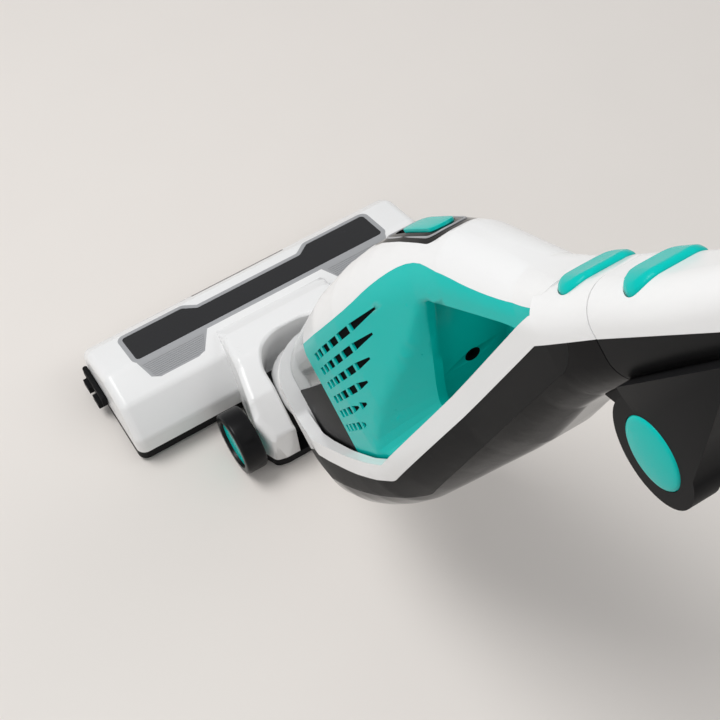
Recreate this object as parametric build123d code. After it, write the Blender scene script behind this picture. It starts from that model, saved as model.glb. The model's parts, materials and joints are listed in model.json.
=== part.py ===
"""Cordless stick vacuum: floor head, tilting neck, dock with a hand vac that lifts out, and a folding handle.

Millimetres. The floor is level, +X is the vacuum's right, +Y forward and +Z up. The floor head is drawn in
floor coordinates, from its front edge. The stick is drawn in its own frame, x right, y out of its front and
z up the stick from the tilt axis, and then leans back. At the end the whole part moves so that its origin is
in the hand grip.
"""
import math
import os

from build123d import *

# Stance: tilt axis behind the head's front edge and above the floor, and the stick's lean from upright
pivot_y = -120.0
pivot_z = 30.0
lean = 33.0
most_lean = 70.0

# Fits
run_gap = 0.06          # shaft in its hole, radial
part_gap = 0.5          # shells that move past each other
seat_gap = 0.3          # a loose piece in its seat
press_gap = 0.02        # a piece pressed into its seat, radial

# Floor head
head_width = 265.0
head_depth = 92.0
sole_low = 4.0
sole_high = 12.0
cover_edge_round = 7.0
trim_low = 40.0         # window and trim reach down to this height
window_ends = 28.5      # window short of the head's ends
window_half = head_width / 2 - window_ends
window_front = -17.0
window_front_mid = -25.0
window_rear = -47.0
trim_width = 3.5
rib_rear = -66.0
mouth_front = -13.0
mouth_rear = -59.0
light_half = 40.0
light_low = 34.0
light_deep = 5.5

# Brush roller and its drive
roller_y = -36.0
roller_z = 26.0
roller_core = 14.0
bristle_tip = 24.0
chamber_radius = 25.5
roller_ends = 22.5      # bearing and belt room between the roller and each end of the head
roller_half = head_width / 2 - roller_ends
chamber_half = roller_half + 2
stub_radius = 4.0
bearing_radius = 9.0
bearing_width = 5.0
pulley_radius = 11.0
pinion_radius = 5.0
belt_thick = 1.4
drive_width = 7.0
drive_x = chamber_half + bearing_width + 1
motor_y = -73.0
motor_z = 30.0
brush_motor_radius = 12.5
brush_motor_length = 52.0

# Rear wheels
wheel_radius = 24.0
wheel_width = 16.5
wheel_x = 58.6          # inner face
wheel_y = -128.0
tyre_thick = 6.0
axle_radius = 3.0

# Neck
neck_half = 33.0
neck_front = 34.0
neck_back = 28.0
neck_corner = 29.0
barrel_radius = 24.0
duct_radius = 17.0
duct_wall = 2.0
spigot_radius = 24.0
spigot_low = 100.0
spigot_high = 136.0
tilt_pin_radius = 6.0
cheek_width = 16.0

# Dock
dock_low = 118.0
tray_floor = 150.0
dock_top = 549.3
rim_band = 11.0
matte_band = 16.0
panel_wall = 3.0
inlet_radius = 15.0
seal_width = 4.0
seal_high = 3.0

# Hand vac
vac_gap = 1.6           # hand vac in its tray
cup_low = 150.3
cup_high = 227.8
cup_wall = 2.5
cup_split = 6.0         # clear front, black back
vac_low = 228.0
arm_end = 505.0
arch_high = 10.5
arch_half = 19.0
ledge_in = 20.0
ledge_out = 25.0
ledge_drop = 7.0
vent_rows = 6
vent_gap = 3.2
vent_high = 4.4
vent_tip = 1.2          # height of each row's pointed end
vent_lengths = (9, 11, 14, 19, 24)
vent_last = 52.0        # the pointed slot of the first row, and how much it shortens from row to row
vent_step = 7.0
vent_deep = 4.0
screen_deep = 1.3
screen_thick = 1.5
plenum_top = 256.0
motor_low = 246.0
motor_high = 300.0
fan_y = -20.0
fan_motor_radius = 27.0
cell_radius = 9.1
cell_length = 65.0

# Fold hinge and handle
hinge_y = -64.0
hinge_z = 551.0
hinge_half = 25.0
lug_half = 12.0
ear_radius = 24.0
hinge_pin_radius = 4.0
cap_radius = 16.3
cap_thick = 3.0
handle_low = 550.0
handle_wall = 3.0
grip_z = 930.0

# Push strips across the stick: where they sit, their length across, their width and how far they stand out
release_z = 527.0
fold_z = 580.0
strip_length = 34.0
strip_width = 20.0
strip_proud = 2.5

station_step = 26.0      # most room between cross-sections of a hull

# Cross-sections up the stick: z, half width, back y, front y, corner radius
dock_stations = (
    (dock_low, 44, -48, 31, 24), (135, 53, -63, 36, 28), (162, 56, -77, 40, 32), (206, 56.5, -82, 47, 34),
    (262, 55.5, -80, 54, 34), (300, 51, -75.5, 58, 33), (345, 43, -70, 58, 31), (394, 34.5, -64, 50, 26),
    (421, 32, -60, 43, 24), (451, 30, -53, 31, 21), (481, 28, -46, 18, 18), (510, 26.5, -42, 7.5, 17),
    (dock_top, 23, -41, 2.5, 16))
cup_stations = ((cup_low, 45, -52, 34, 20), (190, 48, -58, 41, 22), (cup_high, 48.8, -60, 46.5, 24))
vac_stations = (
    (vac_low, 48.8, -60, 46.5, 24), (262, 48.3, -65, 53, 27), (300, 44, -63, 58, 30),
    (345, 36, -55, 59, 31),
    (394, 27.5, -43, 51.5, 26), (421, 25, -36, 45, 23.5), (451, 23, -29, 31, 21),
    (481, 21, -21, 16.5, 17.5),
    (521, 19.5, -12, 5.5, 8.5))
neck_stations = ((10, neck_half, -neck_back, neck_front, neck_corner),
    (62, neck_half, -neck_back, neck_front, neck_corner),
                 (dock_low - part_gap, 42, -42, 30, 28))
handle_stations = (
    (handle_low, 23, -41, 2.5, 16), (600, 21, -39, -5, 14), (660, 19, -41, -9, 13),
    (760, 17.5, -46, -14, 12),
    (880, 17.5, -53, -20, 12), (980, 18.5, -60, -25, 13), (1012, 16, -59, -31, 11), (1022, 9, -54, -38, 6))

stick = Pos(0, pivot_y, pivot_z) * Rot(lean, 0, 0)
nodes = {}


def cylinder_x(radius, low, high, y, z):
    """Round bar along X."""
    return Pos((low + high) / 2, y, z) * Rot(0, 90, 0) * Cylinder(radius, high - low)


def block(x_low, x_high, y_low, y_high, z_low, z_high):
    """Box between two corners."""
    centre = Pos((x_low + x_high) / 2, (y_low + y_high) / 2, (z_low + z_high) / 2)
    return centre * Box(x_high - x_low, y_high - y_low, z_high - z_low)


def outline(*points):
    """Closed outline through points, taken anticlockwise."""
    turns = sum(a[0] * b[1] - a[1] * b[0] for a, b in zip(points, points[1:] + points[:1]))
    return Polygon(*(points if turns > 0 else points[::-1]))


def across(face, low, high):
    """Carry a side-view outline, of (y, z) points, across the part from one x to another."""
    return extrude(Plane.YZ.offset(low) * face, high - low, dir=(1, 0, 0))


def upward(face, low, high):
    """Carry an outline seen from above up from one height to another."""
    return extrude(Pos(0, 0, low) * face, high - low, dir=(0, 0, 1))


def eased(points, closed=True, rounds=2):
    """Line with its corners cut, so that it bends gently: points a quarter along each edge take their place."""
    for _ in range(rounds):
        ends = points[1:] + points[:1] if closed else points[1:]
        cut = []
        for (ay, az), (by, bz) in zip(points, ends):
            cut.append((0.75 * ay + 0.25 * by, 0.75 * az + 0.25 * bz))
            cut.append((0.25 * ay + 0.75 * by, 0.25 * az + 0.75 * bz))
        points = cut if closed else points[:1] + cut[1:-1] + points[-1:]
    return points


def section(z, half, back, front, corner):
    """Rounded cross-section at one height."""
    return Pos(0, (back + front) / 2, z) * RectangleRounded(2 * half, front - back, corner)


def filled(stations):
    """Cross-sections between the given ones, along a smooth curve through them."""
    rows = []
    for number in range(len(stations) - 1):
        low = stations[number]
        high = stations[number + 1]
        before = stations[max(number - 1, 0)]
        after = stations[min(number + 2, len(stations) - 1)]
        span = high[0] - low[0]
        pieces = max(1, round(span / station_step))
        for piece in range(pieces):
            t = piece / pieces
            row = [low[0] + span * t]
            for value in range(1, 5):
                slope_low = (high[value] - before[value]) / (high[0] - before[0]) * span
                slope_high = (after[value] - low[value]) / (after[0] - low[0]) * span
                row.append((2 * t**3 - 3 * t**2 + 1) * low[value] + (t**3 - 2 * t**2 + t) * slope_low
                           + (3 * t**2 - 2 * t**3) * high[value] + (t**3 - t**2) * slope_high)
            rows.append(tuple(row))
    rows.append(stations[-1])
    return rows


def pod(stations):
    """Hull through cross-sections."""
    return loft([section(*station) for station in filled(stations)], ruled=True)


def grown(stations, gap, front_gap=None):
    """The same cross-sections, larger all round by a gap; a large front gap leaves the front open."""
    front_gap = gap if front_gap is None else front_gap
    return tuple((z, half + gap, back - gap, front + front_gap, corner + min(gap, 0))
                 for z, half, back, front, corner in stations)


def group(shapes):
    """Separate solids kept together."""
    return Compound([solid for shape in shapes for solid in shape.solids()])


def common(first, second):
    """What two shapes share, as one shape even where that falls into several pieces."""
    shared = first & second
    return group(shared) if isinstance(shared, list) else shared


def both_sides(shape):
    """A shape and its mirror image across the middle of the vacuum."""
    return shape + mirror(shape, about=Plane.YZ)


# Floor head: the cover's side profile, with the front low and the crown over the roller
cover_profile = outline(*[(0, sole_high), (0, 33), (-13, 45.5), (-48, 57), (-74, 50), (-head_depth, 27),
                           (-head_depth, sole_high)])
profile_corners = cover_profile.vertices().filter_by(lambda v: v.Y > sole_high + 1)
cover_profile = fillet(profile_corners, 9)
cover_solid = across(cover_profile, -head_width / 2, head_width / 2)
end_edges = [edge for edge in cover_solid.edges() if abs(abs(edge.center().X) - head_width / 2) < 0.01
             and edge.center().Z > sole_high + 0.5]
cover_solid = fillet(end_edges, cover_edge_round)

# Centre housing behind the window: two cheeks that carry the neck's tilt pins and the wheels
housing_side = outline(*[(-48, sole_high), (-48, 50), (-68, 63), (-95, 70), (-126, 62), (-150, 40),
                          (-152, sole_high)])
housing_side = fillet(housing_side.vertices().filter_by(lambda v: v.Y > sole_high + 1), 8)
housing_plan = outline((43, -48), (50, -100), (57.5, -136), (52, -150), (44, -152), (-44, -152),
    (-52, -150),
                       (-57.5, -136), (-50, -100), (-43, -48))
housing_plan = fillet(housing_plan.vertices().filter_by(lambda v: v.Y < -120), 5)
housing_solid = common(across(housing_side, -70, 70), upward(housing_plan, 0, 90))

# Room for the neck over its whole tilt, from upright to its lowest lean
neck_fan = Circle(barrel_radius + part_gap)
for step in range(8):
    turn = Rot(0, 0, step * most_lean / 7)
    neck_fan += turn * Pos((neck_front - neck_back) / 2, 64) * Rectangle(
        neck_front + neck_back + 2 * part_gap, 110)
tilt_plane = Plane(origin=(-neck_half - part_gap, pivot_y, pivot_z), x_dir=(0, 1, 0), z_dir=(1, 0, 0))
neck_room = extrude(tilt_plane * neck_fan, 2 * (neck_half + part_gap), dir=(1, 0, 0))
slot_long = 120.0
slot_plan = Pos(0, pivot_y + neck_front + part_gap - slot_long / 2) * RectangleRounded(
    2 * (neck_half + part_gap), slot_long, neck_corner)
neck_room = common(neck_room, upward(slot_plan, 0, 200)) + cylinder_x(
    barrel_radius + part_gap, -neck_half - part_gap, neck_half + part_gap, pivot_y, pivot_z)

# Window outline seen from above, stepped back in the middle, and the grey trim round it with its rear corners
window_points = [(-window_half, window_front), (-54, window_front), (-44, window_front_mid),
                 (44, window_front_mid), (54, window_front), (window_half, window_front),
                 (window_half, window_rear), (-window_half, window_rear)]
window_plan = fillet(outline(*window_points).vertices(), 3)
rib_out = -window_half - 2
rib_points = [(rib_out, window_rear), (rib_out + 5, rib_rear + 3), (rib_out + 11, rib_rear),
    (-64, rib_rear),
              (-58, rib_rear + 2), (-48, window_rear - 3), (-48, window_rear + 1),
              (rib_out, window_rear + 1)]
rib_plan = outline(*rib_points)
window_cut = upward(window_plan, trim_low, 80)
trim_cut = upward(offset(window_plan, trim_width), trim_low,
    80) + both_sides(upward(rib_plan, trim_low, 80))

# Spaces inside the head: roller chamber over the mouth, belt bay at the right end, motor bay behind
chamber = cylinder_x(chamber_radius, -chamber_half, chamber_half, roller_y, roller_z)
chamber += block(-chamber_half, chamber_half, roller_y - 22, roller_y + 22, 0, roller_z)
left_seat = cylinder_x(bearing_radius, -chamber_half - bearing_width - seat_gap, -roller_half, roller_y,
    roller_z)
right_seat = cylinder_x(bearing_radius, roller_half, drive_x, roller_y, roller_z)
belt_room = pulley_radius + belt_thick + 2.5
bay_low = chamber_half + bearing_width
bay_high = drive_x + drive_width + 3
belt_bay = cylinder_x(belt_room, bay_low, bay_high, roller_y, roller_z)
belt_bay += block(bay_low, bay_high, motor_y - 10, roller_y, motor_z - 15, motor_z + 13)
motor_bay = cylinder_x(brush_motor_radius + press_gap, drive_x - 4 - brush_motor_length, bay_low + 1,
    motor_y, motor_z)
inside = chamber + left_seat + right_seat + belt_bay + motor_bay

# Front step that holds the light strip
light_slot = block(-light_half, light_half, -light_deep, 1, light_low, light_low + 20)

nodes["head_cover"] = cover_solid - trim_cut - housing_solid - inside - neck_room - light_slot
nodes["window_trim"] = common(cover_solid, trim_cut - window_cut) - inside - housing_solid
nodes["brush_window"] = common(cover_solid, window_cut) - chamber - housing_solid
nodes["light_strip"] = common(cover_solid, light_slot) - inside

pin_bores = both_sides(cylinder_x(tilt_pin_radius + press_gap, neck_half - 12, neck_half + cheek_width,
    pivot_y, pivot_z))
axle_bores = both_sides(cylinder_x(axle_radius + press_gap, wheel_x - 14, wheel_x + 2, wheel_y,
    wheel_radius))
nodes["centre_housing"] = housing_solid - neck_room - pin_bores - axle_bores - inside

sole_plan = Pos(0, -head_depth / 2) * RectangleRounded(head_width, head_depth, cover_edge_round)
mouth = block(-chamber_half, chamber_half, mouth_rear, mouth_front, 0, 20)
sole = upward(sole_plan, sole_low, sole_high) + upward(housing_plan, sole_low, sole_high)
nodes["sole_plate"] = sole - mouth - neck_room
glide = block(60, 90, -11, -4, 0, sole_low)
nodes["sole_glides"] = both_sides(glide)
nodes["roller_bearings"] = (
    cylinder_x(bearing_radius - press_gap, -chamber_half - bearing_width, -chamber_half, roller_y, roller_z)
    + cylinder_x(bearing_radius - press_gap, chamber_half, chamber_half + bearing_width, roller_y, roller_z)
    - cylinder_x(stub_radius + run_gap, -head_width, head_width, roller_y, roller_z))
motor_end = drive_x - 4
motor_start = motor_end - brush_motor_length
nodes["brush_motor"] = cylinder_x(brush_motor_radius, motor_start, motor_end, motor_y, motor_z)
nodes["brush_motor"] -= cylinder_x(2.0 + run_gap, drive_x - 24, drive_x, motor_y, motor_z)
screw_x = head_width / 2 - 14.5
screw_spots = [(-screw_x, -70), (screw_x, -82), (-30, -68), (30, -68)]
nodes["head_screws"] = group([Pos(x, y, sole_low + 0.5) * (Cylinder(3, 2.5)
    - Pos(0, 0, -1) * Box(4, 1, 1.2))
                              for x, y in screw_spots])
screw_seats = [Pos(x, y, sole_low) * Cylinder(3 + press_gap, 3.52) for x, y in screw_spots]
nodes["sole_plate"] -= screw_seats

# Brush roller with its stub shafts, helical tufts and pulley; motor pinion; belt round both
nodes["brush_roller"] = (
    cylinder_x(roller_core, -roller_half, roller_half, roller_y, roller_z)
    + cylinder_x(stub_radius, -chamber_half - bearing_width, drive_x + drive_width, roller_y, roller_z))
tuft = upward(RegularPolygon(2.0, 6), roller_core, bristle_tip)
tufts = []
for row in range(4):
    for place in range(15):
        along = -roller_half + 8 + place * (2 * roller_half - 16) / 14
        around = row * 90 + place * 12
        tufts.append(Pos(along, roller_y, roller_z) * Rot(around, 0, 0) * tuft)
nodes["brush_bristles"] = group(tufts)
drive_end = drive_x + drive_width
nodes["roller_pulley"] = cylinder_x(pulley_radius, drive_x, drive_end, roller_y, roller_z)
nodes["roller_pulley"] -= cylinder_x(stub_radius + press_gap, drive_x - 1, drive_end + 1, roller_y, roller_z)
nodes["motor_pinion"] = cylinder_x(pinion_radius, drive_x, drive_end, motor_y, motor_z)
nodes["motor_pinion"] += cylinder_x(2.0, drive_x - 20, drive_x, motor_y, motor_z)


def belt_outline(extra):
    """Stretched loop round the pulley and the pinion, in the side view."""
    return make_hull((Pos(roller_y, roller_z) * Circle(pulley_radius + seat_gap + extra)).edges()
                     + (Pos(motor_y, motor_z) * Circle(pinion_radius + seat_gap + extra)).edges())


nodes["drive_belt"] = across(belt_outline(belt_thick) - belt_outline(0), drive_x + 0.5,
    drive_x + drive_width - 0.5)

# Rear wheels on stub axles in the cheeks
for side, sign in (("left", -1), ("right", 1)):
    hub_radius = wheel_radius - tyre_thick
    tyre = cylinder_x(wheel_radius, wheel_x, wheel_x + wheel_width, wheel_y, wheel_radius)
    tyre -= cylinder_x(hub_radius, 0, 100, wheel_y, wheel_radius)
    tyre = chamfer(tyre.edges().filter_by(GeomType.CIRCLE).group_by(SortBy.RADIUS)[-1], 1.2)
    hub = cylinder_x(hub_radius - press_gap, wheel_x + 0.5, wheel_x + wheel_width - 2.5, wheel_y,
        wheel_radius)
    hub -= cylinder_x(axle_radius + run_gap, wheel_x, wheel_x + wheel_width - 6, wheel_y, wheel_radius)
    for spot in range(6):
        angle = math.radians(60 * spot)
        hub -= cylinder_x(1.7, wheel_x + wheel_width - 6, 100, wheel_y + 12 * math.cos(angle),
                          wheel_radius + 12 * math.sin(angle))
    nodes["tyre_" + side] = tyre if sign > 0 else mirror(tyre, about=Plane.YZ)
    nodes["hub_" + side] = hub if sign > 0 else mirror(hub, about=Plane.YZ)
nodes["wheel_axles"] = both_sides(cylinder_x(axle_radius, wheel_x - 13.5, wheel_x + wheel_width - 6.5,
    wheel_y, wheel_radius))

# Latch on the head's left end: a plate that turns on its round top edge, with two finger pads
latch_x = -head_width / 2 - seat_gap
latch_thick, latch_low, latch_axis = 4.0, 16.0, 24.0
latch_rear, latch_front = -42.0, -8.0
latch = block(latch_x - latch_thick, latch_x, latch_rear, latch_front, latch_low, latch_axis)
latch_edge = Rot(90, 0, 0) * Cylinder(latch_thick / 2, latch_front - latch_rear)
latch += Pos(latch_x - latch_thick / 2, (latch_rear + latch_front) / 2, latch_axis) * latch_edge
for pad_y in (latch_rear + 4, latch_front - 14):
    latch += block(latch_x - latch_thick - 3, latch_x, pad_y, pad_y + 10, latch_low - 6, latch_low + 1)
nodes["end_latch"] = latch

# Neck: white shell on a black barrel, with the air duct inside and a round spigot that swivels in the dock
barrel = cylinder_x(barrel_radius, -neck_half, neck_half, 0, 0)
duct_space = Pos(0, 0, spigot_high / 2) * Cylinder(duct_radius + duct_wall, spigot_high + 1)
spigot = Pos(0, 0, (spigot_low + spigot_high) / 2) * Cylinder(spigot_radius, spigot_high - spigot_low)
nodes["neck_shell"] = stick * (pod(neck_stations) + spigot - barrel - duct_space)
neck_pin_bores = both_sides(cylinder_x(tilt_pin_radius + run_gap, neck_half - 12.5, neck_half + 1, 0, 0))
nodes["neck_barrel"] = stick * (barrel - duct_space - neck_pin_bores)
nodes["tilt_pins"] = both_sides(cylinder_x(tilt_pin_radius, neck_half - 12,
    neck_half + cheek_width - 0.5, pivot_y, pivot_z))
hose_high = spigot_high - 2
hose = Pos(0, 0, hose_high / 2 + 1) * (Cylinder(duct_radius + duct_wall - press_gap, hose_high)
    - Cylinder(duct_radius, hose_high))
nodes["neck_hose"] = stick * hose

# Dock: one hull, opened in front along the tray line, hollowed for the hand vac, then parted in three
tray_points = [(120, tray_floor), (-8, tray_floor), (-23, 164), (-35, 219), (-46, 281), (-11, 450),
               (0, 504), (0, arm_end + part_gap), (120, arm_end + part_gap)]
tray_line = outline(*tray_points)
tray_line = fillet(tray_line.vertices().filter_by(lambda v: 150.5 < v.Y < 450 or (v.X < 0 and v.Y < 151)), 8)
arch_plane = Plane(origin=(0, -3, arm_end), x_dir=(1, 0, 0), z_dir=(0, -1, 0))


def arch(gap):
    """Rounded end of the grip arm, which slides forward out of a recess in the dock's top."""
    outline = Ellipse(arch_half + gap, arch_high + gap) - Pos(0, -50) * Rectangle(200, 100)
    return extrude(arch_plane * outline, 130, dir=(0, 1, 0))


dock_hull = pod(dock_stations)
tray = across(tray_line, -100, 100) + arch(part_gap)
cup_room = ((tray_floor,) + cup_stations[0][1:],) + cup_stations[1:-1] + ((vac_low,)
    + cup_stations[-1][1:],)
below_arch = block(-100, 100, -150, 150, 0, arm_end + part_gap)
cavity = pod(grown(cup_room, vac_gap, 90)) + common(pod(grown(vac_stations, vac_gap, 90)), below_arch)
spigot_bore = Pos(0, 0, dock_low + 9) * Cylinder(spigot_radius + run_gap,
    2 * (spigot_high + 1 - dock_low - 9))
inlet = Pos(0, 0, tray_floor - 10) * Cylinder(inlet_radius, 40)
seal_groove = Pos(0, 0, tray_floor - seal_high / 2) * (
    Cylinder(inlet_radius + 2 + seal_width, seal_high) - Cylinder(inlet_radius + 2, seal_high))

ear_room = both_sides(cylinder_x(ear_radius + part_gap, lug_half + 0.2, 60, hinge_y, hinge_z))
lug_side = Pos(hinge_y, hinge_z) * Circle(ear_radius - 2) + outline(
    (hinge_y + 3, hinge_z - 21.5), (-36, 497), (-36, dock_top), (hinge_y, dock_top))
lug = across(lug_side, -lug_half, lug_half) - cylinder_x(hinge_pin_radius + run_gap, -50, 50, hinge_y,
    hinge_z)
dock_solid = dock_hull - tray - cavity - spigot_bore - inlet - seal_groove - ear_room

white_line = offset(tray_line, rim_band)
white_zone = across(white_line, -100, 100)
white_zone += block(-100, 100, -30, 100, dock_low - 1, tray_floor + 1)
white_zone += across(outline((-12, 500), (-17, dock_top + 1), (60, dock_top + 1), (60, 500)), -100, 100)
matte_zone = across(offset(tray_line, rim_band + matte_band), -100, 100)


def strip(z, gap, stations, rise):
    """Push strip across the stick's front: a slot-shaped bar that follows the crown."""
    plane = Plane(origin=(0, -40, z), x_dir=(1, 0, 0), z_dir=(0, 1, 0))
    outline = SlotOverall(strip_length + 2 * gap, strip_width + 2 * gap)
    bar = extrude(plane * outline, 90, dir=(0, 1, 0))
    return common(bar, Pos(0, rise, 0) * pod(stations))


release_low = block(-60, 60, -5, 60, release_z - 30, release_z + 30)
release_slot = common(strip(release_z, part_gap, dock_stations, 0), Pos(0, -2, 0) * release_low)
nodes["release_button"] = stick * common(strip(release_z, 0, dock_stations, strip_proud), release_low)

black = dock_solid - white_zone
liner = pod(grown(cup_room, vac_gap + panel_wall)) + common(pod(grown(vac_stations,
    vac_gap + panel_wall)), below_arch)
inner_hull = pod(tuple((z, half - panel_wall, back + panel_wall, front, corner - panel_wall)
                       for z, half, back, front, corner in dock_stations))
nodes["dock_rim"] = stick * (common(dock_solid, white_zone) - release_slot)
outer_back = black - matte_zone
nodes["dock_back"] = stick * (common(black, matte_zone) + common(outer_back, liner)
    + (lug - tray - cavity - white_zone))
nodes["dock_panel"] = stick * (outer_back - inner_hull - liner - lug)
nodes["inlet_seal"] = stick * (Pos(0, 0, tray_floor - (seal_high - 0.2) / 2) * (
    Cylinder(inlet_radius + 2 + seal_width - press_gap, seal_high + 0.2)
    - Cylinder(inlet_radius + 2 + press_gap, seal_high + 0.2)))
nodes["hinge_pin"] = stick * cylinder_x(hinge_pin_radius, -hinge_half + cap_thick + 1,
    hinge_half - cap_thick - 1, hinge_y, hinge_z)

# Hand vac body: hull, grip opening with a stepped pocket on each side, arm parted off in white
opening_out = [(29, 383), (4, 331), (-38, 272), (-46, 288), (-46, 335), (-33, 394), (-19, 451), (-9, 483),
               (-3, 489), (14, 437), (29, 398)]
opening_in = [(21, 394), (0, 370), (-26, 338), (-33, 344), (-34, 356), (-27, 398), (-16, 447), (-8, 476),
              (-4, 479), (11, 437), (23, 402)]
opening_deep = eased([(y, z - ledge_drop) for y, z in opening_in[:3]] + opening_in[3:])
opening_out = eased(opening_out)
opening_in = eased(opening_in)
pocket_mid = 44.0
pocket_far = 2 * pocket_mid - ledge_out
opening_far = [(2 * a[0] - b[0], 2 * a[1] - b[1]) for a, b in zip(opening_out, opening_in)]
pocket = loft([Plane.YZ.offset(ledge_out) * outline(*opening_in),
    Plane.YZ.offset(pocket_far) * outline(*opening_far)],
              ruled=True)
opening = both_sides(pocket) + across(outline(*opening_in), -ledge_out - 0.1, ledge_out + 0.1) + across(
    outline(*opening_deep), -ledge_in, ledge_in)
vac_hull = pod(vac_stations) - block(-60, 60, -60, 100, arm_end, 560) + common(pod(vac_stations), arch(0))
arm_edge = eased([(31, vac_low - 1), (36, 310), (43, 357), (43, 394), (33, 421), (18, 451), (6, 481),
                  (0, 504), (0, 530)], closed=False)
arm_line = outline(*arm_edge, (120, 530), (120, vac_low - 1))
arm_zone = across(arm_line, -100, 100)
plenum = pod(tuple((z, half - 3, back + 3, 13, corner - 3)
                   for z, half, back, front, corner in vac_stations[:4]))
plenum = common(plenum, block(-100, 100, -100, 100, vac_low - 1, plenum_top))
battery_low = 233.0
battery_high = battery_low + cell_length + 3
battery_bay = block(-38, 38, 16, 37, battery_low, battery_high)
fan_seat = Pos(0, fan_y, (plenum_top + motor_high) / 2) * Cylinder(fan_motor_radius + press_gap,
    motor_high - plenum_top + 2)


def half_at(z):
    """Half width of the hand vac at one height."""
    for low, high in zip(vac_stations, vac_stations[1:]):
        if low[0] <= z <= high[0]:
            return low[1] + (high[1] - low[1]) * (z - low[0]) / (high[0] - low[0])
    return vac_stations[-1][1]


# Vents on each side: slanting rows of slots that lengthen up the body, over a dark screen
vent_cuts = []
for row in range(vent_rows):
    start = (21 - row * 8.8, 246 - row * 2.5)
    end = (31 - row * 10.9, 354 - row * 16)
    row_long = math.dist(start, end)
    along = ((end[0] - start[0]) / row_long, (end[1] - start[1]) / row_long)
    lengths = vent_lengths[row // 3:] + (vent_last - row * vent_step,)
    scale = (row_long - vent_gap * len(lengths)) / sum(lengths)
    reach = 0.0
    for length in lengths:
        low, high = reach, reach + length * scale
        reach = high + vent_gap
        high_end = vent_tip if length == lengths[-1] else vent_high
        corners = []
        for place, side in ((low, -vent_high), (low, vent_high), (high, high_end), (high, -high_end)):
            corners.append((start[0] + along[0] * place + along[1] * side / 2,
                            start[1] + along[1] * place - along[0] * side / 2))
        surface = half_at(start[1] + along[1] * (low + high) / 2)
        vent_cuts.append(across(outline(*corners), -surface - vent_deep, -surface + vent_deep))
screen_line = outline((26, 239), (37, 357), (27, 358), (-29, 277), (-29, 231), (-22, 231))
screen_room = across(screen_line, -80, 0) - pod(grown(vac_stations, -screen_deep - screen_thick))
screen_room = common(screen_room, pod(grown(vac_stations, -screen_deep)))
vac_half = common(vac_hull - arm_zone, block(-100, 0, -150, 150, 0, 600))
vac_half = vac_half - opening - plenum - battery_bay - fan_seat - screen_room
socket_y, socket_z = -13.0, 347.0
socket_tilt = 50.9
socket_radius, socket_hole, socket_length = 4.5, 2.8, 16.0
socket_place = Pos(0, socket_y, socket_z) * Rot(socket_tilt, 0, 0)
socket_bore = socket_place * Cylinder(socket_radius + press_gap, 2 * socket_length)
vac_half = vac_half - socket_bore - vent_cuts
nodes["body_left"] = stick * vac_half
nodes["body_right"] = stick * mirror(vac_half, about=Plane.YZ)
nodes["vent_screens"] = stick * both_sides(common(screen_room,
    pod(grown(vac_stations, -screen_deep - press_gap))))
nodes["charge_socket"] = stick * socket_place * (
    Pos(0, 0, -socket_length / 2) * Cylinder(socket_radius, socket_length)
    - Cylinder(socket_hole, 2 * (socket_length - 6)))

# Grip arm with the switch bezel let into its crown, and the slide switch in the bezel
switch_z = 368.0
bezel_plane = Plane(origin=(0, 0, switch_z), x_dir=(0, 0, 1), z_dir=(0, 1, 0))
bezel_length, bezel_width = 96.0, 28.0
switch_length, switch_width, switch_travel = 44.0, 14.0, 12.0
bezel_bar = extrude(bezel_plane * SlotOverall(bezel_length, bezel_width), 100, dir=(0, 1, 0))
bezel_deep = pod(grown(vac_stations, -7))
switch_plane = Plane(origin=(0, 0, switch_z + 11), x_dir=(0, 0, 1), z_dir=(0, 1, 0))
switch_bar = extrude(switch_plane * SlotOverall(switch_length, switch_width), 100, dir=(0, 1, 0))
slot_plane = Plane(origin=(0, 0, switch_z + 11 - switch_travel / 2), x_dir=(0, 0, 1), z_dir=(0, 1, 0))
switch_slot = extrude(slot_plane * SlotOverall(switch_length + switch_travel + 2 * part_gap,
    switch_width + 2 * part_gap),
                      100, dir=(0, 1, 0))
arm_solid = common(vac_hull, arm_zone)
bezel_zone = bezel_bar - bezel_deep
nodes["grip_arm"] = stick * (arm_solid - bezel_zone - opening - battery_bay)
nodes["switch_bezel"] = stick * (common(arm_solid, bezel_zone) - switch_slot)
switch_floor = pod(grown(vac_stations, -6))
nodes["power_switch"] = stick * (common(switch_bar, Pos(0, 1.5, 0) * vac_hull)
    - Pos(0, 0.6, 0) * switch_floor)

# Dust cup in two pieces, filter hanging into it, inlet flap on its floor
cup_hull = pod(cup_stations)
cup_hollow = pod(tuple((z, half - cup_wall, back + cup_wall, front - cup_wall, corner - cup_wall)
                       for z, half, back, front, corner in cup_stations))
cup_hollow = common(cup_hollow, block(-100, 100, -100, 100, cup_low + cup_wall, cup_high + 1))
cup_shell = cup_hull - cup_hollow - inlet
cup_back_zone = block(-100, 100, -100, cup_split, 0, 400)
nodes["dust_cup"] = stick * (cup_shell - cup_back_zone)
nodes["cup_back"] = stick * common(cup_shell, cup_back_zone)
filter_radius, filter_low, filter_high = 27.0, 182.0, 224.0
frame_plate = Pos(0, fan_y, filter_high + 1.5) * Cylinder(fan_motor_radius + 8, 3)
cage = Pos(0, fan_y, filter_low - 1.5) * Cylinder(filter_radius, 3)
for spot in range(6):
    angle = math.radians(60 * spot + 30)
    post_y = fan_y + (filter_radius - 2) * math.cos(angle)
    cage += Pos((filter_radius - 2) * math.sin(angle), post_y, (filter_low + filter_high) / 2) * Cylinder(
        1.6, filter_high - filter_low)
nodes["filter_frame"] = stick * (cage + frame_plate - Pos(0, fan_y, filter_high) * Cylinder(12, 20))
pleats = 24
pleat_points = []
for fold in range(2 * pleats):
    reach = filter_radius - 5 if fold % 2 == 0 else filter_radius - 11
    angle = math.pi * fold / pleats
    pleat_points.append((reach * math.sin(angle), reach * math.cos(angle)))
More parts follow.
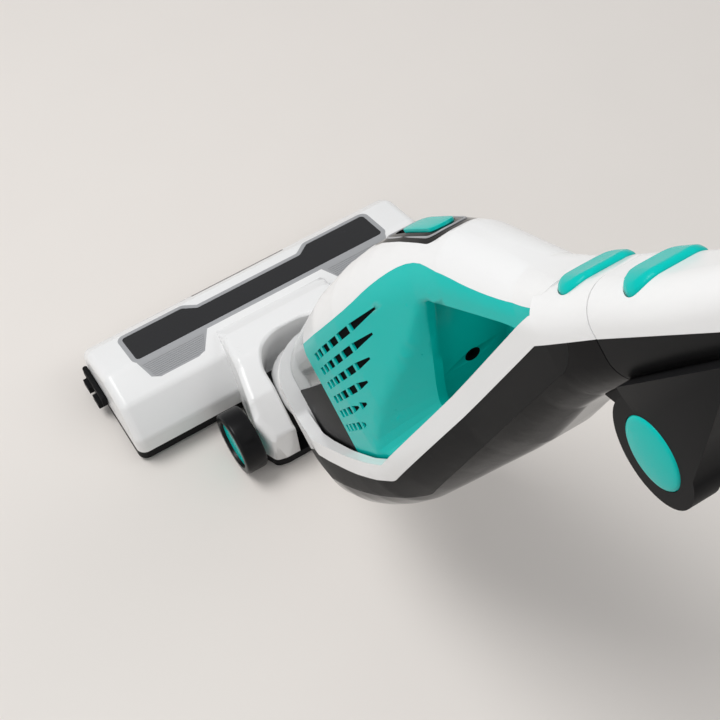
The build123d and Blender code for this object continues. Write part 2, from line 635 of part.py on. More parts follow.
pleat_ring = outline(*pleat_points) - Circle(12)
nodes["pleated_filter"] = stick * (Pos(0, fan_y, 0) * upward(pleat_ring, filter_low, filter_high))
flap_radius = inlet_radius + 3
flap_z = cup_low + cup_wall + 0.4
flap = Pos(0, 0, flap_z + 0.8) * Cylinder(flap_radius, 1.6)
flap += cylinder_x(1.6, -10, 10, -flap_radius - 0.6, flap_z + 1.2)
flap += block(-9, 9, -flap_radius - 0.6, -flap_radius + 3, flap_z + 0.2, flap_z + 1.6)
nodes["inlet_flap"] = stick * flap

# Suction motor, impeller, battery and board inside the body
motor_can = Pos(0, fan_y, (motor_low + motor_high) / 2) * Cylinder(fan_motor_radius, motor_high - motor_low)
motor_can -= Pos(0, fan_y, motor_low) * Cylinder(3 + run_gap, 60)
nodes["fan_motor"] = stick * motor_can
blade = block(6, 25, -0.8, 0.8, 0, 8)
impeller = Pos(0, 0, 0.75) * Cylinder(26, 1.5) + Pos(0, 0, 4) * Cylinder(7, 8)
impeller += Pos(0, 0, 15) * Cylinder(3, 20)
for spot in range(9):
    impeller += Rot(0, 0, 40 * spot) * Pos(0, 3, 0) * blade
nodes["impeller"] = stick * (Pos(0, fan_y, 232) * impeller)
mount_low = motor_low + 2
ring = Pos(0, fan_y, (mount_low + plenum_top) / 2) * Cylinder(fan_motor_radius + 4, plenum_top - mount_low)
motor_room = Pos(0, fan_y, 270) * Cylinder(fan_motor_radius + press_gap, 80)
arms = block(-42, 42, fan_y - 4, fan_y + 4, mount_low, plenum_top)
nodes["motor_mount"] = stick * common(ring + arms - motor_room, plenum)
cell_spots = [-28.2, -9.4, 9.4, 28.2]
cell_mid = (battery_low + battery_high) / 2
cell = Cylinder(cell_radius, cell_length)
nodes["battery_cells"] = stick * group([Pos(x, 26.5, cell_mid) * cell for x in cell_spots])
holder = block(-37.8, 37.8, 16.2, 36.8, battery_low + 0.2, battery_high - 0.2)
for x in cell_spots:
    holder -= Pos(x, 26.5, cell_mid) * Cylinder(cell_radius + press_gap, cell_length + 0.1)
nodes["battery_holder"] = stick * (holder - block(-60, 60, 28, 60, battery_low + 5, battery_high - 5))

# Handle: white front and black back shells, hollow, with ears that carry the fold pin and its caps
handle_hull = pod(handle_stations)
handle_core = pod(tuple((z, half - handle_wall, back + handle_wall, front - handle_wall,
    corner - handle_wall)
                        for z, half, back, front, corner in handle_stations[:6]))
handle_core = common(handle_core, block(-60, 60, -150, 100, handle_low + 30, 975))
white_front = across(outline((-17, handle_low - 1), (-26, 632), (-31, 760), (-37, 880), (-43, 980),
    (-47, 1060), (60, 1060),
                             (60, handle_low - 1)), -60, 60)
fold_low = block(-60, 60, -13, 60, fold_z - 30, fold_z + 30)
fold_slot = common(strip(fold_z, part_gap, handle_stations, 0), Pos(0, -2, 0) * fold_low)
nodes["fold_button"] = stick * common(strip(fold_z, 0, handle_stations, strip_proud), fold_low)
nodes["handle_front"] = stick * (common(handle_hull, white_front) - handle_core - fold_slot)
ear_side = Pos(hinge_y, hinge_z) * Circle(ear_radius) + outline(
    (hinge_y, hinge_z), (hinge_y - ear_radius, hinge_z), (-60, 600), (-36, 640), (-36, handle_low),
    (-41, handle_low))
ears = across(ear_side, lug_half + part_gap, hinge_half) - cylinder_x(hinge_pin_radius + press_gap, 0,
    60, hinge_y, hinge_z)
ears -= cylinder_x(cap_radius + press_gap, hinge_half - cap_thick, 60, hinge_y, hinge_z)
bridge = across(outline((-60, 600), (-36, 640), (-36, 585), (-50, 585)), -lug_half - 1, lug_half + 1)
nodes["handle_back"] = stick * ((handle_hull - white_front - handle_core)
                                + ((both_sides(ears) + bridge) - white_front - handle_core - handle_hull))
for side, sign in (("left", -1), ("right", 1)):
    cap = cylinder_x(cap_radius, hinge_half - cap_thick + 0.05, hinge_half + 0.4, hinge_y, hinge_z)
    nodes["hinge_cap_" + side] = stick * (cap if sign > 0 else mirror(cap, about=Plane.YZ))

# The part's origin is in the hand grip, at the middle of the handle's section there
grip_station = [s for s in handle_stations if s[0] <= grip_z][-1]
next_station = [s for s in handle_stations if s[0] > grip_z][0]
share = (grip_z - grip_station[0]) / (next_station[0] - grip_station[0])
grip_y = sum(grip_station[2:4]) / 2 * (1 - share) + sum(next_station[2:4]) / 2 * share
lean_angle = math.radians(lean)
origin_y = pivot_y + grip_y * math.cos(lean_angle) - grip_z * math.sin(lean_angle)
origin_z = pivot_z + grip_y * math.sin(lean_angle) + grip_z * math.cos(lean_angle)

os.makedirs("parts", exist_ok=True)
for name, shape in nodes.items():
    export_step(Pos(0, -origin_y, -origin_z) * shape, f"parts/{name}.step")
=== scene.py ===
"""Cordless stick vacuum on a pale floor, dressed over its frame, seen from beside the handle."""
import json
import math

import bmesh
import bpy
import numpy as np
from mathutils import Matrix, Vector
from mathutils.bvhtree import BVHTree

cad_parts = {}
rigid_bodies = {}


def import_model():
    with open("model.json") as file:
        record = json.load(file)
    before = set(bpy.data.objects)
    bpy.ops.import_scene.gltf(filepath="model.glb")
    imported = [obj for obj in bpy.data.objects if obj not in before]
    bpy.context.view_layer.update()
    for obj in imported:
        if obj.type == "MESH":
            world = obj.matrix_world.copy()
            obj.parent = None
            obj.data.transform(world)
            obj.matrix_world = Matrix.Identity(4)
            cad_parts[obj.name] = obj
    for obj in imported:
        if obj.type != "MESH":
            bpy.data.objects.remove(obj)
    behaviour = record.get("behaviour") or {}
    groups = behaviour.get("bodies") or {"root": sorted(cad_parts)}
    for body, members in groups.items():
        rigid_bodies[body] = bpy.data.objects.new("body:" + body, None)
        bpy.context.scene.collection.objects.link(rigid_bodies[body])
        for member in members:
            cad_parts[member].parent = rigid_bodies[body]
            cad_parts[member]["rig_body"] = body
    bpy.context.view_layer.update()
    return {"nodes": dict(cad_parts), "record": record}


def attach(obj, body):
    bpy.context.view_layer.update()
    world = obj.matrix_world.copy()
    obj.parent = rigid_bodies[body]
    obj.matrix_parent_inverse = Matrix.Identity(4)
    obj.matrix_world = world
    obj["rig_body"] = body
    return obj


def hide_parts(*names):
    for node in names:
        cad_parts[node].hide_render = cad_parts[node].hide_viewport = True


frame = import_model()

# Shared measures, in millimetres: where the frame's origin, in the grip, and the tilt axis are.
# Both are counted back from the head's front edge and up from the floor.
GRIP_BACK, GRIP_HEIGHT = 659.6418, 788.4504
TILT_BACK, TILT_HEIGHT = 120.0, 30.0
LEAN = math.radians(33.0)  # of the stick at rest


# Head cover: a glossy white ABS moulding over the brush roller, with a long window in its top.
# It comes out of a polished tool, so it is only faintly uneven, and its edges are softly rounded.
# Four screws from below hold it to the sole.
def plastic_finish(name, colour, rough, grain=900.0, depth=0.00002, mottle=0.03, shine=0.4):
    """Moulded plastic: fine noise lifts the surface by the depth, and slow noise shifts the
    colour by the mottle and the roughness by 15 per cent, either way."""
    material = bpy.data.materials.new(name)
    material.use_nodes = True
    nodes, links = material.node_tree.nodes, material.node_tree.links
    shader = nodes["Principled BSDF"]
    shader.inputs["Specular IOR Level"].default_value = shine
    place = nodes.new("ShaderNodeTexCoord")
    slow = nodes.new("ShaderNodeTexNoise")
    slow.inputs["Scale"].default_value = 14.0
    slow.inputs["Detail"].default_value = 4.0
    links.new(place.outputs["Object"], slow.inputs["Vector"])
    tone = nodes.new("ShaderNodeMix")
    tone.data_type = "RGBA"
    links.new(slow.outputs["Fac"], tone.inputs["Factor"])
    tone.inputs["A"].default_value = (*[c * (1 - mottle) for c in colour], 1)
    tone.inputs["B"].default_value = (*[min(c * (1 + mottle), 1) for c in colour], 1)
    links.new(tone.outputs["Result"], shader.inputs["Base Color"])
    gloss = nodes.new("ShaderNodeMapRange")
    gloss.inputs["To Min"].default_value = rough * 0.85
    gloss.inputs["To Max"].default_value = rough * 1.15
    links.new(slow.outputs["Fac"], gloss.inputs["Value"])
    links.new(gloss.outputs["Result"], shader.inputs["Roughness"])
    fine = nodes.new("ShaderNodeTexNoise")
    fine.inputs["Scale"].default_value = grain
    fine.inputs["Detail"].default_value = 2.0
    links.new(place.outputs["Object"], fine.inputs["Vector"])
    bump = nodes.new("ShaderNodeBump")
    bump.inputs["Strength"].default_value = 0.35
    bump.inputs["Distance"].default_value = depth
    links.new(fine.outputs["Fac"], bump.inputs["Height"])
    links.new(bump.outputs["Normal"], shader.inputs["Normal"])
    return material


def soften(work, edges, reach, step, held=None):
    """Round sharp edges: faces within reach are halved down to the step, then their corners are
    drawn together in turns, in a band that narrows from the reach to half of it."""
    spacing, halvings, turns = 0.001, 8, 30
    line = []
    for edge in edges:
        share = np.linspace(0, 1, max(2, int(edge.calc_length() / spacing) + 1))[:, None]
        line.append((1 - share) * np.array(edge.verts[0].co) + share * np.array(edge.verts[1].co))
    line = np.concatenate(line)

    def away(places):
        """Shortest way from each place to the line."""
        places = np.asarray(places, float)
        blocks = np.array_split(places, len(places) // 2000 + 1)
        return np.concatenate([np.sqrt(((p[:, None] - line) ** 2).sum(-1)).min(1) for p in blocks])

    def marked(face):
        """Whether a face is in the zone round the edges."""
        return face.material_index == 1

    def cut_to_triangles():
        """Triangles in place of the zone's larger faces."""
        bmesh.ops.triangulate(work, faces=[f for f in work.faces if marked(f) and len(f.verts) > 3])

    todo = [face for edge in edges for face in edge.link_faces]
    zone = set(todo)
    while todo:
        face = todo.pop()
        face.material_index = 1
        for edge in face.edges:
            first, last = edge.verts[0].co, edge.verts[1].co
            if away([first, last, (first + last) / 2]).min() < reach * 1.4:
                fresh = [other for other in edge.link_faces if other not in zone]
                zone.update(fresh)
                todo.extend(fresh)
    for _ in range(halvings):
        cut_to_triangles()
        long = [e for e in work.edges
                if e.calc_length() > step and any(marked(f) for f in e.link_faces)]
        gap = away([(e.verts[0].co + e.verts[1].co) / 2 for e in long]) if long else []
        cut = [e for e, g in zip(long, gap) if g < reach * 1.1 + e.calc_length() / 2]
        if not cut:
            break
        bmesh.ops.subdivide_edges(work, edges=cut, cuts=1)
    cut_to_triangles()
    corners = [v for v in work.verts if v.link_faces and all(marked(f) for f in v.link_faces)]
    corners = [v for v in corners if held is None or not held(v.co)]
    gap = away([v.co for v in corners])
    for turn in range(turns):
        band = reach * (1.0 - 0.5 * turn / (turns - 1))
        bmesh.ops.smooth_vert(work, verts=[v for v, g in zip(corners, gap) if g < band], factor=0.5,
                              use_axis_x=True, use_axis_y=True, use_axis_z=True)
    for face in work.faces:
        face.material_index = 0


def moulded(node, material, edge=0.0007, crease=32.0, reshape=None):
    """A solid's skin with its doubles merged, flat facets joined, edges rounded by the width that
    edge gives, and faces shaded smooth up to the crease's angle."""
    merge = 0.00002
    mesh = frame["nodes"][node].data.copy()
    work = bmesh.new()
    work.from_mesh(mesh)
    bmesh.ops.remove_doubles(work, verts=work.verts, dist=merge)
    bmesh.ops.dissolve_degenerate(work, edges=work.edges, dist=merge)
    bmesh.ops.dissolve_limit(work, angle_limit=math.radians(0.4), verts=work.verts,
                             edges=work.edges)
    if reshape:
        reshape(work)
    work.to_mesh(mesh)
    work.free()
    mesh.shade_smooth()
    mesh.set_sharp_from_angle(angle=math.radians(crease))
    mesh.materials.clear()
    mesh.materials.append(material)
    piece = bpy.data.objects.new(node + "_skin", mesh)
    bpy.context.scene.collection.objects.link(piece)
    if edge:
        rounding = piece.modifiers.new("edge", "BEVEL")
        rounding.width = edge
        rounding.segments = 2
        rounding.limit_method = "ANGLE"
        rounding.angle_limit = math.radians(crease)
        rounding.harden_normals = True
        rounding.use_clamp_overlap = True
    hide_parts(node)
    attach(piece, frame["nodes"][node]["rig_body"])
    return piece


white_shell = plastic_finish("white_shell", (0.80, 0.80, 0.795), 0.24, mottle=0.012)
moulded("head_cover", white_shell, edge=0.0012)

# Centre housing: a white ABS moulding behind the window, with a slot between two cheeks for the neck.
# It is screwed to the sole and carries the tilt pins and the axles. Its shoulders are rolled off.
def soft_shoulders(work):
    """Roll the sharp upper edges: wide along the outside of the cheeks, narrow round the slot."""
    lowest, foremost, held_from, cheek = -0.7445, 0.5965, 0.5975, 0.0415
    angle = math.radians(40)
    for wide, reach, step in ((True, 0.0062, 0.0018), (False, 0.0026, 0.0011)):
        sharp = []
        for edge in work.edges:
            middle = (edge.verts[0].co + edge.verts[1].co) / 2
            upper = middle.z > lowest and middle.y < foremost
            if upper and len(edge.link_faces) == 2 and edge.calc_face_angle_signed() > angle:
                if (abs(middle.x) > cheek) == wide:
                    sharp.append(edge)
        soften(work, sharp, reach, step, held=lambda place: place.y > held_from)


moulded("centre_housing", white_shell, edge=0.0, crease=45.0, reshape=soft_shoulders)

# Sole: a matte black polypropylene plate with the suction mouth in it, screwed under the cover.
# Two felt glides are glued under its front edge, so that it slides without scratches.
black_matte = plastic_finish("black_matte", (0.010, 0.010, 0.0105), 0.42, grain=1400.0,
                             depth=0.00006, mottle=0.2, shine=0.04)
moulded("sole_plate", black_matte, edge=0.0008)
felt = plastic_finish("felt", (0.07, 0.07, 0.075), 0.95, grain=2600.0, depth=0.0003, mottle=0.3)
moulded("sole_glides", felt, edge=0.0004)

# Window: a smoked polycarbonate moulding over the roller, glued into a silver grey trim.
# The trim snaps into the cover. Its wide rear corners carry fine ribs.
smoked = plastic_finish("smoked", (0.028, 0.028, 0.030), 0.13, mottle=0.1, shine=0.2)
smoked.node_tree.nodes["Principled BSDF"].inputs["Transmission Weight"].default_value = 0.4
moulded("brush_window", smoked, edge=0.0006)
grey_trim = plastic_finish("grey_trim", (0.34, 0.345, 0.355), 0.32, mottle=0.05)
moulded("window_trim", grey_trim, edge=0.0006)


def surface_piece(name, points, material, body, close_u=False, close_v=False, smooth=True):
    """A piece from a grid of points, (rows, columns, 3), or a list of grids, joined into quads."""
    grids = points if isinstance(points, list) else [points]
    corners, quads, start = [], [], 0
    for grid in grids:
        rows, columns = grid.shape[:2]
        i, j = np.meshgrid(np.arange(rows - (not close_u)), np.arange(columns - (not close_v)),
                           indexing="ij")
        this, after = i * columns, (i + 1) % rows * columns
        beside = (j + 1) % columns
        quad = np.stack([this + j, this + beside, after + beside, after + j], -1)
        quads.append(quad.reshape(-1, 4) + start)
        corners.append(grid.reshape(-1, 3))
        start += rows * columns
    mesh = bpy.data.meshes.new(name)
    mesh.from_pydata(np.concatenate(corners).tolist(), [], np.concatenate(quads).tolist())
    work = bmesh.new()
    work.from_mesh(mesh)
    bmesh.ops.remove_doubles(work, verts=work.verts, dist=0.000005)
    bmesh.ops.recalc_face_normals(work, faces=work.faces)
    work.to_mesh(mesh)
    work.free()
    if smooth:
        mesh.shade_smooth()
        mesh.set_sharp_from_angle(angle=math.radians(40))
    mesh.materials.append(material)
    piece = bpy.data.objects.new(name, mesh)
    bpy.context.scene.collection.objects.link(piece)
    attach(piece, body)
    return piece


def floor_point(x, y, z):
    """Millimetres from the head's front edge on the floor, as metres from the hand grip."""
    y, z = np.asarray(y) + GRIP_BACK, np.asarray(z) - GRIP_HEIGHT
    return np.stack(np.broadcast_arrays(x, y, z), -1) / 1000


def rib_bars(side):
    """Low bars across a trim corner: each a half round on the falling top, which drops by the
    slope behind its crest, with its ends on the corner's slanting edges."""
    corner_front, corner_depth = 47.0, 19.0
    crest_y, crest_z, slope, sunk = -48.0, 57.0, 0.269, 0.1
    half_width, height = 0.45, 0.5
    rear = np.linspace(-52.5, -64.0, 9)
    share = (-rear - corner_front) / corner_depth
    outer, inner = 105.0 - 8.0 * share, 50.0 + 9.0 * share
    lift = np.linspace(0, math.pi, 7)
    bars = []
    for y, a, b in zip(rear, inner, outer):
        x = a + (b - a) * np.array([0.0, 0.004, 0.996, 1.0])[:, None]
        size = np.array([0.02, 1.0, 1.0, 0.02])[:, None]
        top = crest_z - slope * (crest_y - y) - sunk
        bars.append(floor_point(side * x, y + half_width * np.cos(lift) * size,
                                top + height * np.sin(lift) * size))
    return bars


surface_piece("trim_ribs", rib_bars(1) + rib_bars(-1), grey_trim, "head")

# Light strip: a black acrylic lens across the middle of the front edge, with the lamps behind it.
# It is polished, and snaps into the cover from inside.
lens_black = plastic_finish("lens_black", (0.006, 0.006, 0.007), 0.1, mottle=0.1, shine=0.3)
moulded("light_strip", lens_black, edge=0.0004)


# Brush roller: a black core with four helical rows of nylon bristles, faint behind the window.
# The strands are punched into the core in tufts and cut to one length. A bearing holds each end.
def bristle_rows(rows=4, tufts=64, strands=7, seed=5):
    """Tapered three-sided strands, from the core's skin to the tips, each leaning a little from
    its own tuft, by the square of its share of the way out."""
    axis_y, axis_z, core, tip = -36.0, 26.0, 13.9, 23.8
    half_length, twist = 102.0, 168.0
    chance = np.random.default_rng(seed)
    row, tuft, _ = np.meshgrid(np.arange(rows), np.arange(tufts), np.arange(strands), indexing="ij")
    share = tuft / (tufts - 1)
    along = half_length * (2 * share - 1) + chance.normal(0, 0.5, row.shape)
    around = np.radians(row * 360 / rows + share * twist) + chance.normal(0, 0.03, row.shape)
    lean_x, lean_a = chance.normal(0, 0.8, row.shape), chance.normal(0, 0.05, row.shape)
    along, around, lean_x, lean_a = (v.reshape(-1, 1, 1) for v in (along, around, lean_x, lean_a))
    reach = np.array([core, 19.0, tip]).reshape(1, 3, 1)
    thick = np.array([0.28, 0.26, 0.12]).reshape(1, 3, 1)
    turn = (np.arange(3) * 2 * math.pi / 3).reshape(1, 1, 3)
    bend = ((reach - core) / (tip - core)) ** 2
    angle = around + lean_a * bend + thick * np.sin(turn) / reach
    x = along + lean_x * bend + thick * np.cos(turn)
    return list(floor_point(x, axis_y + reach * np.sin(angle), axis_z + reach * np.cos(angle)))


nylon = plastic_finish("nylon", (0.03, 0.30, 0.27), 0.5, mottle=0.2)
strands = surface_piece("bristle_strands", bristle_rows(), nylon, "roller",
                        close_v=True, smooth=False)
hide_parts("brush_bristles")

# Wheels: black rubber tyres with rounded shoulders, stretched over turquoise ABS hubs.
# Each hub turns on a steel axle in the centre housing.
tyre_rubber = plastic_finish("tyre_rubber", (0.007, 0.007, 0.0075), 0.3, grain=1800.0,
                             depth=0.00003, mottle=0.2, shine=0.16)
turquoise = plastic_finish("turquoise", (0.001, 0.48, 0.43), 0.24, mottle=0.03, shine=0.1)


def turned(profile, y, z, sign, steps=96):
    """A closed profile of (distance from the axis, place along X) turned about an axis along X."""
    distance, along = np.array(profile).T
    angle = np.linspace(0, 2 * math.pi, steps, endpoint=False)[:, None]
    return floor_point(sign * along + 0 * angle, y + distance * np.cos(angle),
                       z + distance * np.sin(angle))


AXLE_Y, AXLE_Z = -128.0, 24.0
TYRE_RADIUS, TYRE_ROUND, TYRE_OUTER, TYRE_INNER = 24.0, 2.2, 75.1, 58.6
shoulder = np.linspace(0, math.pi / 2, 6)
flank = TYRE_RADIUS - TYRE_ROUND
tread = [(flank + TYRE_ROUND * math.cos(a), TYRE_OUTER - TYRE_ROUND + TYRE_ROUND * math.sin(a))
         for a in shoulder[::-1]]
inside = [(flank + TYRE_ROUND * math.cos(a), TYRE_INNER + TYRE_ROUND - TYRE_ROUND * math.sin(a))
          for a in shoulder]
tyre_profile = ([(18.05, 74.2), (18.6, TYRE_OUTER)] + tread + inside
                + [(18.6, TYRE_INNER), (18.05, 59.4)])
for side, sign in (("left", -1), ("right", 1)):
    ring = turned(tyre_profile, AXLE_Y, AXLE_Z, sign)
    tyre = surface_piece("tyre_ring_" + side, ring, tyre_rubber, "wheel_" + side,
                         close_u=True, close_v=True)
    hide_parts("tyre_" + side)
    moulded("hub_" + side, turquoise, edge=0.0005)

# End latch: a ridged slide of matte black plastic in the head's left end, which lets the roller out.
# It is moulded in one piece and hinges on its own pin.
moulded("end_latch", black_matte, edge=0.0008)

# Neck: a white shell round the air way, on a black barrel that tilts in the centre housing.
# The shell turns on the barrel, so that the head swivels. Both are moulded, with soft edges.
moulded("neck_shell", white_shell, edge=0.0015)
moulded("neck_barrel", black_matte, edge=0.0015)

# Dock: the V-shaped tray of the hand vac, with a white rim, a grained back and a polished panel.
# The three mouldings are clipped together. The turquoise push strip in its crown sits on a spring.
moulded("dock_rim", white_shell, edge=0.0022)
moulded("dock_back", black_matte, edge=0.0008)
gloss_black = plastic_finish("gloss_black", (0.003, 0.003, 0.0035), 0.06, mottle=0.1, shine=0.035)
moulded("dock_panel", gloss_black, edge=0.0006)


def soft_rim(work):
    """Round the strip's upper rim: its sharp edges that look out of the stick's front."""
    out = Vector((0.0, math.cos(LEAN), math.sin(LEAN)))
    sharp = []
    for edge in work.edges:
        if len(edge.link_faces) == 2 and edge.calc_face_angle() > math.radians(35):
            facing = [face.normal.dot(out) for face in edge.link_faces]
            if max(facing) > 0.35 and min(facing) > -0.3:
                sharp.append(edge)
    soften(work, sharp, 0.0032, 0.0011)


moulded("release_button", turquoise, edge=0.0, crease=50.0, reshape=soft_rim)


# Hand vac: two turquoise ABS halves that meet in the middle, screwed together round the fan.
# The grip opening goes right through. Its pocket walls are drawn in, and its crest is softly rolled.
# Rows of slots let the air out. Flat black sheets behind them are painted shade, so the slots read
# dark deep inside.
def side_view(points):
    """Points of the frame seen from the stick's side: millimetres from the tilt axis, out of the
    stick's front and up along it."""
    y = points[:, 1] * 1000 - (GRIP_BACK - TILT_BACK)
    z = points[:, 2] * 1000 + (GRIP_HEIGHT - TILT_HEIGHT)
    out = y * math.cos(LEAN) + z * math.sin(LEAN)
    return np.stack([out, z * math.cos(LEAN) - y * math.sin(LEAN)], -1)


def cut_corners(line):
    """A closed line with its corners cut twice, a quarter along each edge."""
    for _ in range(2):
        ahead = np.roll(line, -1, 0)
        line = np.stack([0.75 * line + 0.25 * ahead, 0.25 * line + 0.75 * ahead], 1).reshape(-1, 2)
    return line


pocket_mouth = cut_corners(np.array([
    (29, 383), (4, 331), (-38, 272), (-46, 288), (-46, 335), (-33, 394), (-19, 451), (-9, 483),
    (-3, 489), (14, 437), (29, 398)], float))
pocket_floor = cut_corners(np.array([
    (21, 394), (0, 370), (-26, 338), (-33, 344), (-34, 356), (-27, 398), (-16, 447), (-8, 476),
    (-4, 479), (11, 437), (23, 402)], float))


def off_wall(points):
    """Shortest way to the pocket's wall, whose line runs evenly from the floor to the mouth."""
    floor_x, mouth_x = 25.0, 44.0
    share = (np.abs(points[:, 0]) * 1000 - floor_x) / (mouth_x - floor_x)
    share = share[:, None, None]
    line = pocket_floor + share * (pocket_mouth - pocket_floor)
    way = np.roll(line, -1, 1) - line
    place = side_view(points)[:, None, :] - line
    part = np.clip((place * way).sum(-1) / (way * way).sum(-1), 0, 1)
    return np.linalg.norm(place - part[..., None] * way, axis=-1).min(1)


def soft_crest(work):
    """Roll the pocket's outer crest: the sharp edges where its wall meets the side."""
    crest_from, held_to = 0.0266, 0.0262
    work.verts.index_update()
    near = off_wall(np.array([v.co for v in work.verts])) < 1.0
    crest = []
    for edge in work.edges:
        first, last = edge.verts
        outside = min(abs(first.co.x), abs(last.co.x)) > crest_from
        if near[first.index] and near[last.index] and outside and len(edge.link_faces) == 2:
            if edge.calc_face_angle() > math.radians(20):
                crest.append(edge)
    soften(work, crest, 0.0066, 0.0018, held=lambda place: abs(place.x) < held_to)


for side in ("left", "right"):
    moulded("body_" + side, turquoise, edge=0.0, crease=36.0, reshape=soft_crest)
# This black paints the shade inside the vent slots on the screens, and is the charge socket's own
# colour.
vent_shade_and_socket_black = plastic_finish("vent_shade_and_socket_black", (0.003, 0.003, 0.003), 0.8, grain=3000.0,
                              depth=0.0001, shine=0.05)
moulded("vent_screens", vent_shade_and_socket_black, edge=0.0)
moulded("charge_socket", vent_shade_and_socket_black, edge=0.0003)

# Grip arm: the white crown of the hand vac, snapped over the two halves, with a black bezel in it.
# The slide switch is a turquoise moulding in the bezel, inside a thin ring of silver grey plastic.
moulded("grip_arm", white_shell, edge=0.0010)
moulded("switch_bezel", gloss_black, edge=0.0008)
moulded("power_switch", turquoise, edge=0.0016)


def stick_point(x, y, z):
    """Millimetres from the tilt axis, to the right, out of the leaning stick's front and up along
    it, as metres in the frame."""
    x, y, z = np.broadcast_arrays(x, np.asarray(y, float), z)
    return floor_point(x, -TILT_BACK + y * math.cos(LEAN) - z * math.sin(LEAN),
                       TILT_HEIGHT + y * math.sin(LEAN) + z * math.cos(LEAN))


def bezel_ring(middle=373.0, length=71.0, width=21.5, radius=0.7, steps=160):
    """A round bead along a slot-shaped line, dropped straight onto the bezel and half sunk in it."""
    clear_of_bezel, sides = 100.0, 10
    straight = length - width
    turn = np.linspace(0, 2 * math.pi, steps, endpoint=False)
    x = width / 2 * np.cos(turn)
    z = middle + width / 2 * np.sin(turn) + np.sign(np.sin(turn)) * straight / 2
    bezel = frame["nodes"]["switch_bezel"].data
    tree = BVHTree.FromPolygons([v.co for v in bezel.vertices],
                                [p.vertices for p in bezel.polygons])
    down = Vector((0.0, -math.cos(LEAN), -math.sin(LEAN)))
    hits = [tree.ray_cast(Vector(p), down)[0] for p in stick_point(x, clear_of_bezel, z)]
    path = np.array([h for h in hits if h is not None])
    ahead = np.roll(path, -1, 0) - np.roll(path, 1, 0)
    ahead = ahead / np.linalg.norm(ahead, axis=1)[:, None]
    up = -np.array(down)
    across = np.cross(ahead, up)
    across = across / np.linalg.norm(across, axis=1)[:, None]
    round_angle = np.linspace(0, 2 * math.pi, sides, endpoint=False)[None, :, None]
    bead = np.cos(round_angle) * across[:, None] + np.sin(round_angle) * up
    return path[:, None] + bead * radius / 1000


surface_piece("switch_ring", bezel_ring(), grey_trim, "hand_vac",
              close_u=True, close_v=True)

# Dust cup: a clear moulding below the fan, with a black back, which holds the filter and its frame.
# It is pushed onto the hand vac and sealed by the lip of its rim.
clear = plastic_finish("clear", (0.82, 0.85, 0.85), 0.08, mottle=0.02)
clear.node_tree.nodes["Principled BSDF"].inputs["Transmission Weight"].default_value = 0.8
moulded("dust_cup", clear, edge=0.0006)
moulded("cup_back", black_matte, edge=0.0006)

# Handle: a white front and a matte black back, whose two ears fold about the hinge pin.
# The push strip in its crown lets it fold. A domed turquoise cap is pressed into each ear.
moulded("handle_front", white_shell, edge=0.0012)
moulded("handle_back", black_matte, edge=0.0018)
moulded("fold_button", turquoise, edge=0.0, crease=50.0, reshape=soft_rim)
HINGE_Y, HINGE_Z = -64.0, 551.0
CAP_TOP, CAP_FALL, CAP_CROWN = 26.6, 0.9, 14.9
crown = np.linspace(0, 1, 10)
cap_profile = [(0.001, CAP_TOP)]
cap_profile += [(CAP_CROWN * t, CAP_TOP - CAP_FALL * t ** 2.2) for t in crown[1:]]
cap_profile += [(15.6, 25.4), (16.2, 24.6), (16.25, 22.1), (0.001, 22.1)]
distance, along = np.array(cap_profile).T
angle = np.linspace(0, 2 * math.pi, 96, endpoint=False)[:, None]
for side, sign in (("left", -1), ("right", 1)):
    disc = stick_point(sign * along + 0 * angle, HINGE_Y + distance * np.cos(angle),
                       HINGE_Z + distance * np.sin(angle))
    cap = surface_piece("hinge_disc_" + side, disc, turquoise, "handle",
                        close_u=True)
    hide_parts("hinge_cap_" + side)

# Inner pieces: motors, cells, filter, shafts and screws keep their solids, with plain finishes.
# They show only through the cup and the window, or when the hand vac is lifted out.
steel = plastic_finish("steel", (0.5, 0.5, 0.51), 0.3)
steel.node_tree.nodes["Principled BSDF"].inputs["Metallic"].default_value = 1.0
slot_finish = {"steel": steel, "white_plastic": white_shell, "turquoise_plastic": turquoise,
               "black_plastic": black_matte}
record_slots = {row["node"]: row["material_slot"] for row in frame["record"]["subparts"]}
for name, node in frame["nodes"].items():
    finish = slot_finish.get(record_slots.get(name, ""), black_matte)
    node.data.materials.clear()
    node.data.materials.append(finish)

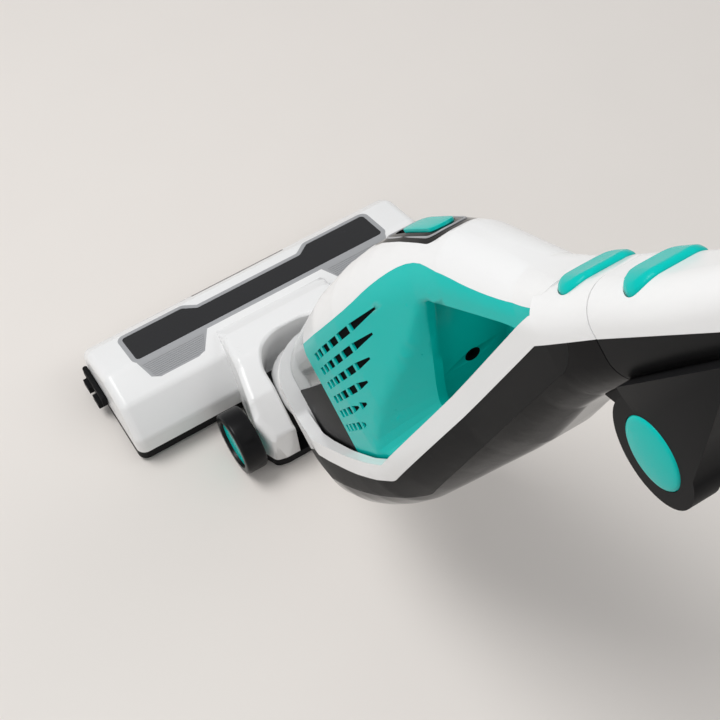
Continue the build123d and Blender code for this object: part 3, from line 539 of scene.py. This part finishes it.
# Stage: a plain pale floor, a soft sky, three studio lamps, and the camera beside the handle.
# The lamps stand where the black panels don't mirror them.
origin = np.array([0.0, -GRIP_BACK, GRIP_HEIGHT]) / 1000
FLOOR_HALF = 6
floor_corners = [(x * FLOOR_HALF, y * FLOOR_HALF, -origin[2])
                 for x, y in ((-1, -1), (1, -1), (1, 1), (-1, 1))]
floor_mesh = bpy.data.meshes.new("floor")
floor_mesh.from_pydata(floor_corners, [], [(0, 1, 2, 3)])
floor = bpy.data.objects.new("floor", floor_mesh)
bpy.context.scene.collection.objects.link(floor)
floor_pale = plastic_finish("floor_pale", (0.74, 0.70, 0.66), 0.6, grain=60.0, mottle=0.01)
floor_mesh.materials.append(floor_pale)

world = bpy.data.worlds.new("studio")
bpy.context.scene.world = world
world.use_nodes = True
sky = world.node_tree.nodes["Background"]
sky.inputs["Color"].default_value = (0.97, 0.98, 1.0, 1)
sky.inputs["Strength"].default_value = 0.45


def softbox(name, place, target, size, watts):
    """Square lamp that faces a point."""
    lamp = bpy.data.lights.new(name, "AREA")
    lamp.shape = "SQUARE"
    lamp.size = size
    lamp.energy = watts
    item = bpy.data.objects.new(name, lamp)
    bpy.context.scene.collection.objects.link(item)
    back = np.array(place, float) - np.array(target, float)
    back = back / np.linalg.norm(back)
    right = np.cross((0.0, 0.0, 1.0), back)
    right = right / np.linalg.norm(right)
    up = np.cross(back, right)
    rows = [[right[i], up[i], back[i], place[i]] for i in range(3)]
    item.matrix_world = Matrix(rows + [[0, 0, 0, 1]])


softbox("key", (-0.7, 1.1, 1.1), (0.0, 0.35, -0.5), size=0.9, watts=24)
softbox("fill", (-1.5, -0.3, 0.3), (0.0, 0.3, -0.5), size=1.2, watts=3.5)
softbox("edge", (1.2, -0.4, 0.8), (0.0, 0.3, -0.5), size=1.0, watts=7)

SENSOR_MM, FOCAL_PX, PICTURE_PX = 36.0, 1507, 720
lens = bpy.data.cameras.new("camera")
lens.sensor_width = SENSOR_MM
lens.lens = SENSOR_MM * FOCAL_PX / PICTURE_PX
lens.clip_start = 0.01
camera = bpy.data.objects.new("camera", lens)
bpy.context.scene.collection.objects.link(camera)
right = np.array([0.8504, -0.5233, -0.0556])
down = np.array([-0.4611, -0.6900, -0.5579])
ahead = np.array([0.2535, 0.5000, -0.8281])
eye = np.array([-0.2421, -0.6718, 0.9439]) - origin
rows = [[right[i], -down[i], -ahead[i], eye[i]] for i in range(3)]
camera.matrix_world = Matrix(rows + [[0, 0, 0, 1]])
bpy.context.scene.camera = camera
bpy.context.scene.view_settings.view_transform = "Standard"
